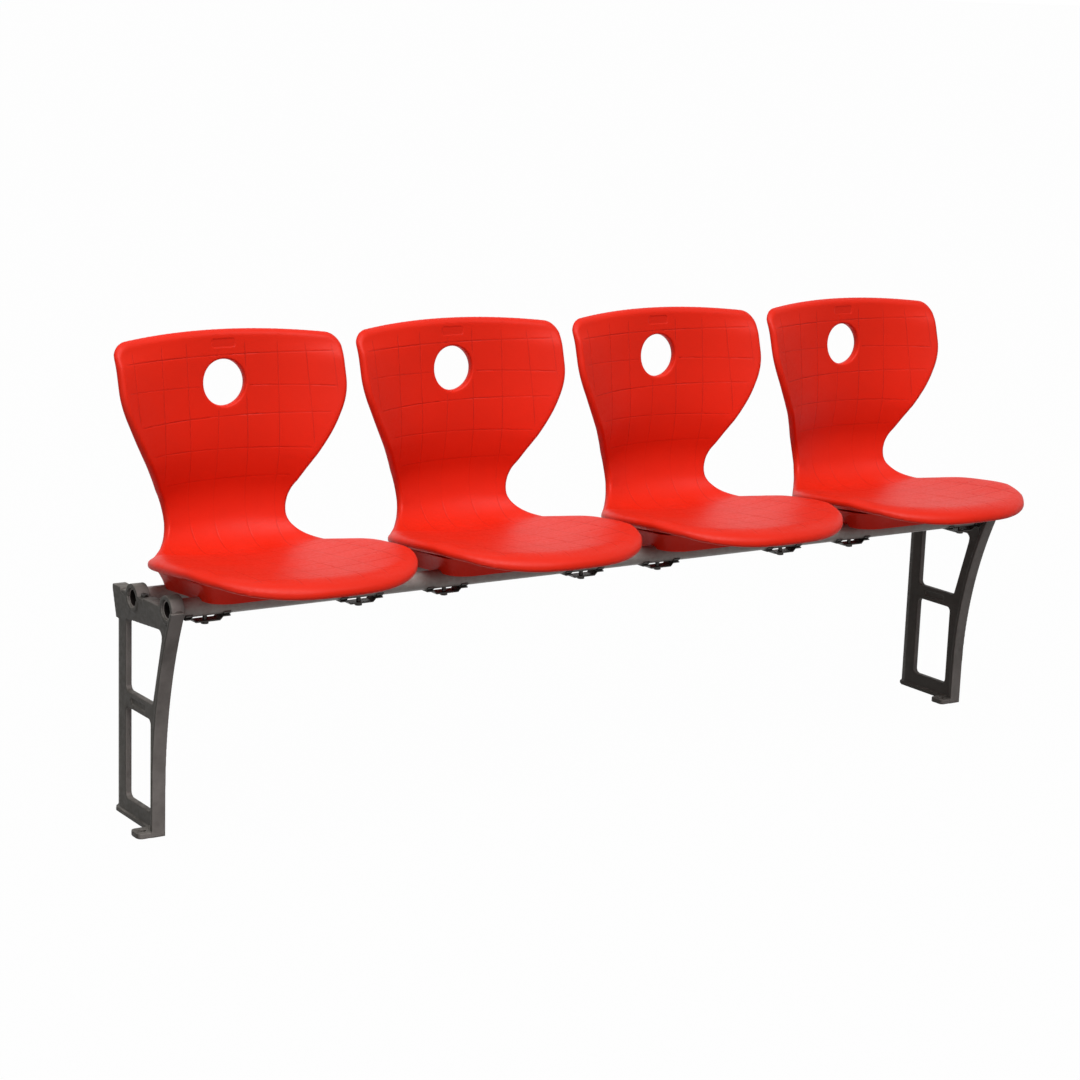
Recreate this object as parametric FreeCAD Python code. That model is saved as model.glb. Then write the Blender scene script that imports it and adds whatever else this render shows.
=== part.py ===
import FreeCAD, Part
import math
import os

# Row of one-piece stadium seats on two steel tubes and two cast legs, in millimetres.
# While it is modelled, x = 0 is the middle of the row, y = 0 the front of the feet and z = 0
# the floor. The seats face -Y. At the end everything is moved so that the origin lies at the
# bottom centre of the whole row's box.

# The row: gap between neighbouring shells, and legs beyond the middle of the end seats
seat_count = 4
seat_gap = 32.0
leg_offset = 212.5

# The two beam tubes; the beam height is that of the rear tube's axis
tube_od = 34.0
tube_wall = 2.5
beam_height = 406.0
rear_tube_y = 101.0
tube_spacing = 135.0
front_tube_rise = 8.5

# Seat shell: the centre line is a straight seat, a tight bend, a wider one that carries it past
# upright, a lumbar arc that turns it back, and a straight upper back. The tight bend's centre is
# placed from the rear tube, the two free edges from that centre.
seat_slope_deg = 4.6
bend_radius = 85.0
bend_behind = 17.8
bend_above = 128.5
bend_end_deg = 72.0
rise_radius = 170.0
rise_end_deg = 100.0
lumbar_radius = 420.0
back_lean_deg = 3.9
seat_reach = 375.5
back_rise = 315.5

# Seat shell: half widths to the outer edge, the back's given by how far it stands out beyond the
# seat's. The round front is measured from the front edge, the shoulder and the crown downwards
# from the top edge.
seat_half_width = 223.5
front_round_length = 220.5
front_roundness = 2.3
flank_lag = 1.35
waist_half_width = 121.0
waist_turn_deg = 71.0
back_beyond_seat = 0.5
shoulder_drop = 92.0
top_corner_radius = 29.5
top_crown_deg = 26.5
top_crown_reach = 70.0

# Seat shell: half thickness of the double wall, and the radii of its hollow across the width
seat_edge = 13.0
back_edge = 10.0
front_hollow_radius = 12000.0
seat_hollow_radius = 1140.0
seat_hollow_reach = 152.0
bend_hollow_radius = 1230.0
waist_hollow_radius = 360.0
wing_hollow_radius = 326.0
wing_hollow_drop = 222.0
top_hollow_radius = 725.0

# Hand hole in the back, measured down from the top edge
hand_hole_d = 84.0
hand_hole_drop = 93.0
hand_hole_bevel = 6.0

# Base moulded under the seat, which sits on the tubes
base_end_wall = 4.5
base_front_margin = 66.0
base_rear_margin = 24.0
base_flare = 15.0
base_sink = 6.0
base_corner = 48.0
saddle_clear = 0.3

# Clamp under each tube: strap, bolt, washer and moulded-in threaded insert
bolt_offset_x = 151.0
bolt_d = 8.0
bolt_hole_d = 9.0
bolt_head_af = 13.0
bolt_head_h = 4.2
bolt_head_face_d = 12.2
bolt_short = 2.0
washer_d = 17.0
washer_t = 1.6
strap_drop = 6.0
strap_t = 2.2
strap_width = 26.0
strap_flat = 46.0
strap_foot = 14.0
strap_wrap_deg = 55.0
strap_clear = 0.2
insert_d = 15.0
insert_h = 14.0
insert_cover = 1.5
insert_clear = 0.1
thread_clear = 0.05

# Cast leg: plate with two windows, flanges, tube bosses and a floor lug
leg_depth = 178.0
leg_plate = 12.0
leg_top_rise = 10.0
front_straight = 82.0
front_arc_radius = 810.0
front_flange_t = 8.0
front_flange_reach = 14.0
rear_bevel_depth = 15.0
rear_bevel_rise = 5.0
bottom_flange_h = 8.0
bottom_flange_reach = 4.0
bottom_flange_setback = 8.0
top_flange_t = 7.0
head_width = 26.0
head_flare_h = 55.0
rear_post = 41.0
front_post = 38.0
front_post_lean = 48.0
foot_rail = 34.5
bar_z = 201.5
bar_h = 30.0
top_rail_rear = 45.0
top_rail_front = 42.0
window_corner = 9.0
bar_pocket_length = 58.0
bar_pocket_h = 12.0
bar_pocket_corner = 5.5
bar_pocket_depth = 3.0
boss_wall = 8.0
tube_bore_clear = 0.15
tube_end_inset = 5.0
lug_reach = 38.5
lug_front_y = 2.0
lug_length = 36.0
lug_h = 10.0
lug_corner = 9.0
anchor_hole_d = 12.0
anchor_edge = 16.0

# Clamp cap over the rear tube, held by two socket screws
cap_ear_t = 7.0
cap_ear_chamfer = 3.0
cap_ear_reach = 15.0
cap_setback = 0.5
cap_gap = 0.6
cap_screw_margin = 11.0
cap_screw_d = 8.0
cap_screw_hole_d = 9.0
cap_screw_head_d = 13.0
cap_screw_head_h = 5.0
cap_screw_depth = 20.0
cap_screw_short = 2.0
cap_socket_af = 6.0
cap_socket_depth = 3.0
cap_head_clear = 0.2

# Places of the row and the tubes that follow from the sizes above
back_half_width = seat_half_width + back_beyond_seat
seat_pitch = 2 * back_half_width + seat_gap
leg_x = (seat_count - 1) / 2 * seat_pitch + leg_offset
tube_r = tube_od / 2
rear_tube_z = beam_height
front_tube_y = rear_tube_y - tube_spacing
front_tube_z = beam_height + front_tube_rise
tube_length = 2 * leg_x + head_width - 2 * tube_end_inset

# Lengths along the shell's centre line, counted from the front edge
seat_slope = math.radians(seat_slope_deg)
bend_end = math.radians(bend_end_deg)
rise_end = math.radians(rise_end_deg)
back_turn = math.pi / 2 - math.radians(back_lean_deg)
bend_y = rear_tube_y + bend_behind
bend_z = rear_tube_z + bend_above
seat_length = (seat_reach - bend_radius * math.sin(seat_slope)) / math.cos(seat_slope)
bend_length = bend_radius * (bend_end + seat_slope)
rise_length = rise_radius * (rise_end - bend_end)
rise_height = rise_radius * (math.cos(bend_end) - math.cos(rise_end))
lumbar_length = lumbar_radius * (rise_end - back_turn)
lumbar_height = lumbar_radius * (math.cos(back_turn) - math.cos(rise_end))
back_height = back_rise + bend_radius * math.cos(bend_end) - rise_height - lumbar_height
back_length = back_height / math.sin(back_turn)
bend_end_s = seat_length + bend_length
shell_length = bend_end_s + rise_length + lumbar_length + back_length
waist_s = seat_length + bend_radius * (math.radians(waist_turn_deg) + seat_slope)
shoulder_s = shell_length - shoulder_drop
hole_s = shell_length - hand_hole_drop

# Outlines of the leg and its cap
leg_half = leg_plate / 2
head_half = head_width / 2
leg_top_z = rear_tube_z + leg_top_rise
boss_r = tube_r + boss_wall
window_rear_y = leg_depth - rear_post
window_top_front_z = front_tube_z - top_rail_front
bar_top_z = bar_z + bar_h
cap_width = head_width - 2 * cap_setback
cap_screw_spacing = tube_od + 2 * cap_screw_margin
cap_length = cap_screw_spacing + 2 * cap_ear_reach
cap_top_z = rear_tube_z + cap_ear_t
base_half_length = bolt_offset_x + insert_d / 2 + base_end_wall


def vec(x, y, z):
    return FreeCAD.Vector(x, y, z)


def prism(points, along):
    """Solid made by sweeping the polygon through the points."""
    return Part.Face(Part.makePolygon(points + points[:1])).extrude(along)


def blend(t):
    """Smooth step from 0 to 1, flat at both ends."""
    t = min(max(t, 0.0), 1.0)
    return (1 - math.cos(math.pi * t)) / 2


def centre_line(s):
    """Point (y, z) of the shell's centre line at the length s from the front, and the turn there."""
    runs = [(seat_length, math.inf), (bend_length, bend_radius), (rise_length, rise_radius),
            (lumbar_length, -lumbar_radius), (back_length, math.inf)]
    turn = -seat_slope
    y = bend_y - seat_reach
    z = bend_z - bend_radius * math.cos(turn) - seat_length * math.sin(turn)
    for run, radius in runs:
        done = min(s, run)
        s -= done
        half = done / radius / 2
        chord = done * math.sin(half) / half if half else done
        y += chord * math.cos(turn + half)
        z += chord * math.sin(turn + half)
        turn += 2 * half
    return y, z, turn


def outer_half_width(s):
    """Half width of the shell, to the outside of its rounded edge."""
    if s < front_round_length:
        t = 1 - s / front_round_length
        return seat_half_width * (1 - t ** front_roundness) ** (1 / front_roundness)
    if s < waist_s:
        t = (s - front_round_length) / (waist_s - front_round_length)
        return seat_half_width + (waist_half_width - seat_half_width) * blend(t ** flank_lag)
    t = (s - waist_s) / (shoulder_s - waist_s)
    width = waist_half_width + (back_half_width - waist_half_width) * blend(t)
    into_corner = max(top_corner_radius - (shell_length - s), 0.0)
    return width - top_corner_radius + math.sqrt(top_corner_radius ** 2 - into_corner ** 2)


def half_thickness(s):
    """Half thickness of the shell, rounded off at the front edge and at the top edge."""
    edge = seat_edge + (back_edge - seat_edge) * blend((s - seat_length) / bend_length)
    to_end = min(s, shell_length - s)
    if to_end < edge:
        return math.sqrt(edge ** 2 - (edge - to_end) ** 2)
    return edge


def hollow_radius(s):
    """Radius of the hollow across the shell, blended between the places where it is given."""
    places = [
        (0.0, front_hollow_radius),
        (seat_hollow_reach, seat_hollow_radius),
        (seat_length, bend_hollow_radius),
        (waist_s, waist_hollow_radius),
        (shell_length - wing_hollow_drop, wing_hollow_radius),
        (shell_length, top_hollow_radius),
    ]
    for (s0, r0), (s1, r1) in zip(places, places[1:]):
        if s <= s1:
            t = (s - s0) / (s1 - s0)
            return 1 / (1 / r0 + (1 / r1 - 1 / r0) * t)
    return top_hollow_radius


def shell_section(s):
    """Closed outline across the shell: two arcs for its faces and a half circle at each side."""
    y, z, turn = centre_line(s)
    turn += math.radians(top_crown_deg) * blend(1 - (shell_length - s) / top_crown_reach)
    e = half_thickness(s)
    r = hollow_radius(s)
    half_angle = math.asin((outer_half_width(s) - e) / r)

    def at(radius, angle):
        lift = r - radius * math.cos(angle)
        return vec(radius * math.sin(angle), y - lift * math.sin(turn), z + lift * math.cos(turn))

    def tip(side):
        x = side * (r * math.sin(half_angle) + e * math.cos(half_angle))
        lift = r - r * math.cos(half_angle) + e * math.sin(half_angle)
        return vec(x, y - lift * math.sin(turn), z + lift * math.cos(turn))

    top = Part.Arc(at(r - e, -half_angle), at(r - e, 0), at(r - e, half_angle))
    right = Part.Arc(at(r - e, half_angle), tip(1), at(r + e, half_angle))
    under = Part.Arc(at(r + e, half_angle), at(r + e, 0), at(r + e, -half_angle))
    left = Part.Arc(at(r + e, -half_angle), tip(-1), at(r - e, -half_angle))
    return Part.Wire([edge.toShape() for edge in (top, right, under, left)])


def section_places():
    """Lengths along the centre line at which the shell's sections are drawn."""
    front = [seat_edge * k for k in (0.12, 0.4, 1.0, 2.2)]
    front += [seat_edge + (front_round_length - seat_edge) * k for k in (0.2, 0.42, 0.7, 1.0)]
    flank = [front_round_length + (seat_length - front_round_length) * k for k in (0.33, 0.66, 0.9)]
    bend = [seat_length + bend_length * k for k in (0.1, 0.3, 0.5, 0.7, 0.9)]
    rise = [bend_end_s + (shoulder_s - bend_end_s) * k for k in (0.1, 0.25, 0.4, 0.55, 0.7, 0.85, 1.0)]
    top = [shell_length - top_corner_radius * k for k in (1.7, 1.0, 0.62)]
    top += [shell_length - back_edge * k for k in (1.0, 0.4, 0.1)]
    return front + flank + bend + rise + top


def round_outline(points, radius):
    """Closed flat outline through the points, each corner rounded with the same radius."""
    starts = []
    middles = []
    ends = []
    for i, corner in enumerate(points):
        back = points[i - 1] - corner
        ahead = points[(i + 1) % len(points)] - corner
        half = back.getAngle(ahead) / 2
        back.normalize()
        ahead.normalize()
        inward = back + ahead
        inward.normalize()
        reach = radius / math.tan(half)
        starts.append(corner + back * reach)
        middles.append(corner + inward * (radius / math.sin(half) - radius))
        ends.append(corner + ahead * reach)
    edges = []
    for i in range(len(points)):
        edges.append(Part.Arc(starts[i], middles[i], ends[i]).toShape())
        edges.append(Part.LineSegment(ends[i], starts[(i + 1) % len(points)]).toShape())
    return Part.Wire(edges)


def level_outline(x0, x1, y0, y1, z, corner):
    """Closed outline of a level rectangle with round corners."""
    points = [vec(x0, y0, z), vec(x1, y0, z), vec(x1, y1, z), vec(x0, y1, z)]
    return round_outline(points, corner)


def cylinder_x(r, x0, length, y, z):
    return Part.makeCylinder(r, length, vec(x0, y, z), vec(1, 0, 0))


def cylinder_z(r, x, y, z0, length):
    return Part.makeCylinder(r, length, vec(x, y, z0), vec(0, 0, 1))


def tube_places():
    return [(front_tube_y, front_tube_z), (rear_tube_y, rear_tube_z)]


def base_under_z(y):
    """Height of the base's underside: a plane a little below the top line of the two tubes."""
    t = (y - front_tube_y) / (rear_tube_y - front_tube_y)
    return front_tube_z + (rear_tube_z - front_tube_z) * t + tube_r - base_sink


def tilt_to_base(shape):
    """Turn a level shape about the X axis so that it follows the base's sloping underside."""
    fall = math.degrees(math.atan2(rear_tube_z - front_tube_z, rear_tube_y - front_tube_y))
    pivot = vec(0, front_tube_y, base_under_z(front_tube_y))
    turned = shape.copy()
    turned.rotate(pivot, vec(1, 0, 0), fall)
    return turned


def seat_base():
    """Block under the seat: smaller below, flaring up into the shell's underside."""
    y0 = front_tube_y - base_front_margin
    y1 = rear_tube_y + base_rear_margin
    z0 = base_under_z(front_tube_y)
    top_half = base_half_length + base_flare
    below = level_outline(-base_half_length, base_half_length, y0, y1, z0, base_corner)
    above = level_outline(-top_half, top_half, y0 - base_flare, y1 + base_flare / 2,
                          z0 + base_rise(), base_corner + base_flare / 2)
    return tilt_to_base(Part.makeLoft([below, above], True, True))


def base_rise():
    """Height of the base block: from its underside to the middle of the seat's wall."""
    y, z, turn = centre_line(seat_length)
    return z - base_under_z(y)


def insert_bottom(z):
    return z + tube_r + insert_cover


def hand_hole():
    """Round cutter through the back, opening out in a bevel at the front and at the rear."""
    y, z, turn = centre_line(hole_s)
    centre = vec(0, y, z)
    across = vec(0, math.sin(turn), -math.cos(turn))
    r = hand_hole_d / 2
    waist = back_edge - hand_hole_bevel
    end = 3 * back_edge
    half_view = [(0, -end), (r + end - waist, -end), (r, -waist), (r, waist),
                 (r + end - waist, end), (0, end)]
    points = [centre + vec(radius, 0, 0) + across * along for radius, along in half_view]
    return Part.Face(Part.makePolygon(points + points[:1])).revolve(centre, across, 360)


def seat_shell():
    """One seat and back in one hollow-moulded piece, at x = 0."""
    shell = Part.makeLoft([shell_section(s) for s in section_places()], True, False)
    shell = shell.cut(hand_hole()).fuse(seat_base()).removeSplitter()
    for y, z in tube_places():
        groove = cylinder_x(tube_r + saddle_clear, -seat_pitch / 2, seat_pitch, y, z)
        shell = shell.cut(groove)
        for side in (-1, 1):
            x = side * bolt_offset_x
            shell = shell.cut(cylinder_z(bolt_hole_d / 2, x, y, z, tube_r + insert_cover))
            pocket = cylinder_z(insert_d / 2 + insert_clear, x, y, insert_bottom(z),
                                insert_h + insert_clear)
            shell = shell.cut(pocket)
    return shell


def beam_tube(y, z):
    """Steel tube along the row, cross-drilled for the seat bolts."""
    x0 = -tube_length / 2
    tube = cylinder_x(tube_r, x0, tube_length, y, z)
    tube = tube.cut(cylinder_x(tube_r - tube_wall, x0, tube_length, y, z))
    for x in seat_places():
        for side in (-1, 1):
            hole = cylinder_z(bolt_hole_d / 2, x + side * bolt_offset_x, y, z - tube_od, 2 * tube_od)
            tube = tube.cut(hole)
    return tube


def seat_places():
    return [(i - (seat_count - 1) / 2) * seat_pitch for i in range(seat_count)]


def clamp_strap(x, y, z):
    """Hat-shaped strap: it hangs clear of the tube in the middle and hugs it at both ends."""
    under = z - tube_r - strap_clear
    flat = strap_flat / 2
    toe = flat + strap_drop
    end = toe + strap_foot
    low = under - strap_drop
    profile = [
        (-end, under), (-toe, under), (-flat, low), (flat, low), (toe, under), (end, under),
        (end, under - strap_t), (toe, under - strap_t), (flat, low - strap_t),
        (-flat, low - strap_t), (-toe, under - strap_t), (-end, under - strap_t),
    ]
    points = [vec(x + px, y - strap_width / 2, pz) for px, pz in profile]
    band = prism(points, vec(0, strap_width, 0))
    for x0 in (x - end, x + toe):
        band = band.fuse(strap_saddle(x0, y, z))
    inside = cylinder_x(tube_r + strap_clear, x - end, 2 * end, y, z)
    hole = cylinder_z(bolt_hole_d / 2, x, y, low - 2 * strap_t, 4 * strap_t)
    return band.cut(inside).cut(hole).removeSplitter()


def strap_saddle(x0, y, z):
    """Bent end of a strap: part of a ring round the lower side of the tube."""
    inner = tube_r + strap_clear
    ring = cylinder_x(inner + strap_t, x0, strap_foot, y, z)
    ring = ring.cut(cylinder_x(inner, x0, strap_foot, y, z))
    reach = 2 * inner
    spread = reach * math.tan(math.radians(strap_wrap_deg))
    wedge = [vec(x0, y, z), vec(x0, y - spread, z - reach), vec(x0, y + spread, z - reach)]
    return ring.common(prism(wedge, vec(strap_foot, 0, 0)))


def washer_top(z):
    return z - tube_r - strap_clear - strap_drop - strap_t


def clamp_washer(x, y, z):
    disc = cylinder_z(washer_d / 2, x, y, washer_top(z) - washer_t, washer_t)
    return disc.cut(cylinder_z(bolt_hole_d / 2, x, y, washer_top(z) - washer_t, washer_t))


def hexagon(across_flats, x, y, z, height):
    r = across_flats / 2 / math.cos(math.pi / 6)
    turns = [k * math.pi / 3 for k in range(6)]
    corners = [vec(x + r * math.cos(turn), y + r * math.sin(turn), z) for turn in turns]
    return prism(corners, vec(0, 0, height))


def clamp_bolt(x, y, z):
    """Hexagon bolt from below the strap, through the tube and up into the seat's insert."""
    seat_z = washer_top(z) - washer_t
    head = hexagon(bolt_head_af, x, y, seat_z - bolt_head_h, bolt_head_h)
    face_r = bolt_head_face_d / 2
    bevel = Part.makeCone(face_r, face_r + 2 * bolt_head_h, bolt_head_h,
                          vec(x, y, seat_z - bolt_head_h))
    length = insert_bottom(z) + insert_h - bolt_short - seat_z
    shank = cylinder_z(bolt_d / 2, x, y, seat_z, length)
    return head.common(bevel).fuse(shank).removeSplitter()


def threaded_insert(x, y, z):
    body = cylinder_z(insert_d / 2, x, y, insert_bottom(z), insert_h)
    return body.cut(cylinder_z(bolt_d / 2 + thread_clear, x, y, insert_bottom(z), insert_h))


def clamp_places(seat_x):
    """Centres of the four clamps of one seat: left and right, on the front and the rear tube."""
    return [(seat_x + side * bolt_offset_x, y, z) for y, z in tube_places() for side in (-1, 1)]


def front_line_y(z):
    """Front outline of the leg: upright below, then an arc that leans forward."""
    rise = max(z - front_straight, 0.0)
    return math.sqrt(front_arc_radius ** 2 - rise ** 2) - front_arc_radius


def leg_outline(x, offset):
    """Face of the leg's side view at the place x, set back by the offset from the front line."""
    top = vec(x, front_line_y(leg_top_z) + offset, leg_top_z)
    middle_z = (front_straight + leg_top_z) / 2
    start = vec(x, offset, front_straight)
    edges = [
        Part.LineSegment(vec(x, offset, 0), vec(x, leg_depth, 0)).toShape(),
        Part.LineSegment(vec(x, leg_depth, 0), vec(x, leg_depth, leg_top_z)).toShape(),
        Part.LineSegment(vec(x, leg_depth, leg_top_z), top).toShape(),
        Part.Arc(top, vec(x, front_line_y(middle_z) + offset, middle_z), start).toShape(),
        Part.LineSegment(start, vec(x, offset, 0)).toShape(),
    ]
    return Part.Face(Part.Wire(edges))


def leg_window(corners):
    wire = round_outline([vec(-head_width, y, z) for y, z in corners], window_corner)
    return Part.Face(wire).extrude(vec(2 * head_width, 0, 0))


def leg_windows():
    lower = [(window_rear_y, foot_rail), (window_rear_y, bar_z),
             (front_post, bar_z), (front_post, foot_rail)]
    upper = [(window_rear_y, bar_top_z), (window_rear_y, rear_tube_z - top_rail_rear),
             (front_post_y(window_top_front_z), window_top_front_z),
             (front_post_y(bar_top_z), bar_top_z)]
    return leg_window(lower).fuse(leg_window(upper))


def front_post_y(z):
    """Rear side of the front post: it leans forward in a straight line above the lower window."""
    t = (z - bar_z) / (window_top_front_z - bar_z)
    return front_post - front_post_lean * t


def bar_pocket():
    """Shallow recess with round ends in the outside of the leg's middle bar."""
    y0 = (front_post + window_rear_y - bar_pocket_length) / 2
    y1 = y0 + bar_pocket_length
    z0 = bar_z + (bar_h - bar_pocket_h) / 2
    z1 = z0 + bar_pocket_h
    points = [vec(-leg_half, y, z) for y, z in ((y0, z0), (y1, z0), (y1, z1), (y0, z1))]
    wire = round_outline(points, bar_pocket_corner)
    return Part.Face(wire).extrude(vec(bar_pocket_depth, 0, 0))


def rear_bevel():
    """Wedge cut off the outside of the rear post, from the bottom flange up to the head."""
    y0 = leg_depth - rear_bevel_depth
    corners = [vec(-leg_half, y0, bottom_flange_h), vec(-leg_half, leg_depth, bottom_flange_h),
               vec(-leg_half + rear_bevel_rise, leg_depth, bottom_flange_h)]
    height = leg_top_z - top_flange_t - head_flare_h - bottom_flange_h
    return prism(corners, vec(0, 0, height))


def head_flare():
    """Head of the leg over its whole depth: it widens upwards from the plate to the top flange."""
    z1 = leg_top_z - top_flange_t
    z0 = z1 - head_flare_h
    corners = [(-leg_half, z0), (leg_half, z0), (head_half, z1), (head_half, leg_top_z),
               (-head_half, leg_top_z), (-head_half, z1)]
    points = [vec(x, front_tube_y, z) for x, z in corners]
    return prism(points, vec(0, leg_depth - front_tube_y, 0))


def front_flange():
    """Broad front face of the leg, which follows the front line up to the front boss."""
    x0 = -leg_half - front_flange_reach
    width = leg_plate + front_flange_reach
    return leg_outline(x0, 0).cut(leg_outline(x0, front_flange_t)).extrude(vec(width, 0, 0))


def floor_lug():
    """Flat lug beside the foot with round corners and one anchor hole."""
    y1 = lug_front_y + lug_length
    outline = level_outline(-leg_half - lug_reach, leg_half, lug_front_y, y1, 0, lug_corner)
    lug = Part.Face(outline).extrude(vec(0, 0, lug_h))
    x = -leg_half - lug_reach + anchor_edge
    return lug.cut(cylinder_z(anchor_hole_d / 2, x, (lug_front_y + y1) / 2, 0, lug_h))


def cast_leg():
    """One leg casting at x = 0."""
    leg = leg_outline(-leg_half, 0).extrude(vec(leg_plate, 0, 0))
    leg = leg.fuse(head_flare()).cut(leg_windows()).cut(bar_pocket()).cut(rear_bevel())
    flange_x = -leg_half - bottom_flange_reach
    bottom = Part.makeBox(leg_half - flange_x, leg_depth - bottom_flange_setback, bottom_flange_h,
                          vec(flange_x, 0, 0))
    bosses = [cylinder_x(boss_r, -head_half, head_width, y, z) for y, z in tube_places()]
    leg = leg.fuse([front_flange(), bottom, floor_lug()] + bosses)
    cap_room = Part.makeBox(2 * head_width, cap_length + 2 * cap_gap, 2 * boss_r,
                            vec(-head_width, rear_tube_y - cap_length / 2 - cap_gap, rear_tube_z))
    leg = leg.cut(cap_room)
    for y, z in tube_places():
        leg = leg.cut(cylinder_x(tube_r + tube_bore_clear, -head_width, 2 * head_width, y, z))
    for y in cap_screw_ys():
        leg = leg.cut(cylinder_z(cap_screw_d / 2 + thread_clear, 0, y,
                                 rear_tube_z - cap_screw_depth, 2 * cap_screw_depth))
    return leg.removeSplitter()


def cap_screw_ys():
    return [rear_tube_y - cap_screw_spacing / 2, rear_tube_y + cap_screw_spacing / 2]


def tube_cap():
    """Arched cap that closes over the rear tube, with an ear for a screw on each side."""
    x0 = -cap_width / 2
    y0 = rear_tube_y - cap_length / 2
    y1 = rear_tube_y + cap_length / 2
    bevel_z = cap_top_z - cap_ear_chamfer
    side_view = [(y0, rear_tube_z), (y1, rear_tube_z), (y1, bevel_z), (y1 - cap_ear_chamfer, cap_top_z),
                 (y0 + cap_ear_chamfer, cap_top_z), (y0, bevel_z)]
    ears = prism([vec(x0, y, z) for y, z in side_view], vec(cap_width, 0, 0))
    arch = cylinder_x(boss_r, x0, cap_width, rear_tube_y, rear_tube_z)
    above = Part.makeBox(cap_width, cap_length, boss_r, vec(x0, y0, rear_tube_z))
    cap = ears.fuse(arch.common(above))
    cap = cap.cut(cylinder_x(tube_r + tube_bore_clear, x0, cap_width, rear_tube_y, rear_tube_z))
    for y in cap_screw_ys():
        cap = cap.cut(cylinder_z(cap_screw_hole_d / 2, 0, y, rear_tube_z, cap_ear_t))
        cap = cap.cut(cylinder_z(cap_screw_head_d / 2 + cap_head_clear, 0, y, cap_top_z, boss_r))
    return cap.removeSplitter()


def cap_screw(y):
    """Socket-head screw that holds the cap down on the leg."""
    head = cylinder_z(cap_screw_head_d / 2, 0, y, cap_top_z, cap_screw_head_h)
    socket_z = cap_top_z + cap_screw_head_h - cap_socket_depth
    head = head.cut(hexagon(cap_socket_af, 0, y, socket_z, cap_socket_depth))
    length = cap_ear_t + cap_screw_depth - cap_screw_short
    return head.fuse(cylinder_z(cap_screw_d / 2, 0, y, cap_top_z - length, length)).removeSplitter()


def moved(shape, x):
    copy = shape.copy()
    copy.translate(vec(x, 0, 0))
    return copy


def seat_nodes():
    """Seat shells with their clamps, numbered from the left."""
    nodes = {}
    shell = seat_shell()
    names = ["front_left", "front_right", "rear_left", "rear_right"]
    for number, x in enumerate(seat_places(), 1):
        places = clamp_places(x)
        nodes["seat_shell_%d" % number] = moved(shell, x)
        for name, place in zip(names, places):
            nodes["strap_%d_%s" % (number, name)] = clamp_strap(*place)
        nodes["clamp_bolts_%d" % number] = Part.makeCompound([clamp_bolt(*p) for p in places])
        nodes["clamp_washers_%d" % number] = Part.makeCompound([clamp_washer(*p) for p in places])
        nodes["seat_inserts_%d" % number] = Part.makeCompound([threaded_insert(*p) for p in places])
    return nodes


def frame_nodes():
    """Tubes, legs, caps and cap screws."""
    nodes = {
        "front_tube": beam_tube(front_tube_y, front_tube_z),
        "rear_tube": beam_tube(rear_tube_y, rear_tube_z),
    }
    leg = cast_leg()
    cap = tube_cap()
    screws = Part.makeCompound([cap_screw(y) for y in cap_screw_ys()])
    for side, x in (("left", -leg_x), ("right", leg_x)):
        nodes["leg_" + side] = moved(leg, x)
        nodes["tube_cap_" + side] = moved(cap, x)
        nodes["cap_screws_" + side] = moved(screws, x)
    return nodes


def main():
    nodes = frame_nodes()
    nodes.update(seat_nodes())
    box = Part.makeCompound(list(nodes.values())).optimalBoundingBox()
    to_origin = vec(-box.Center.x, -box.Center.y, -box.ZMin)
    os.makedirs("parts", exist_ok=True)
    for name, shape in nodes.items():
        shape.translate(to_origin)
        shape.exportStep("parts/%s.step" % name)
        print(name, len(shape.Solids), "solids", round(shape.Volume / 1000, 1), "cm3", shape.isValid())
    print("origin moved by", to_origin, "size", box.XLength, box.YLength, box.ZLength)


main()
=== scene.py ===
# %% [markdown]
# # A row of four stadium seats
# The row is four red moulded seats, bolted down on two steel tubes that two cast legs carry.
# The solid model of it is already made, and this lesson dresses it for a picture.
# We load that model first, as a fixed frame.
# Blender counts in metres, and moulds are drawn in millimetres, so MM turns one into the other.

# %% Load the frame
import math
import bmesh
import bpy
import numpy as np
from mathutils import Matrix, Vector


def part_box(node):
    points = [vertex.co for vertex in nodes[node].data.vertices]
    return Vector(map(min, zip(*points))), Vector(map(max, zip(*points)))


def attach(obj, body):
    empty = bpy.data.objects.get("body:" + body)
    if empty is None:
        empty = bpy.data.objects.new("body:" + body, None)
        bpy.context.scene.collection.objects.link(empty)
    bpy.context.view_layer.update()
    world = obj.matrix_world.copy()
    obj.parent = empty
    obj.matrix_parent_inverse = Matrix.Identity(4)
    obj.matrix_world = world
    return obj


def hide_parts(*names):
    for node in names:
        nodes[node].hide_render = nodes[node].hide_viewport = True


MM = 0.001
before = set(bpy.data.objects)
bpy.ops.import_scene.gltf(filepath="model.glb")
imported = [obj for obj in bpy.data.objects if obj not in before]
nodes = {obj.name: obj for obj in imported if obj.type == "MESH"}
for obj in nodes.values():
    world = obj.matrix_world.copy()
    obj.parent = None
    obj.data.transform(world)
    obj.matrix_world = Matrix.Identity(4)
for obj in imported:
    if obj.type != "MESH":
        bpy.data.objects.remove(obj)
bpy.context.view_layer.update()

# %% [markdown]
# ## The camera
# A camera comes first, so that every later trial can be compared with the photograph.
# We could drag one about by hand until the row looks right. It is safer to give it the place and
# the three directions that were worked out from the four equal seats.

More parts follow.
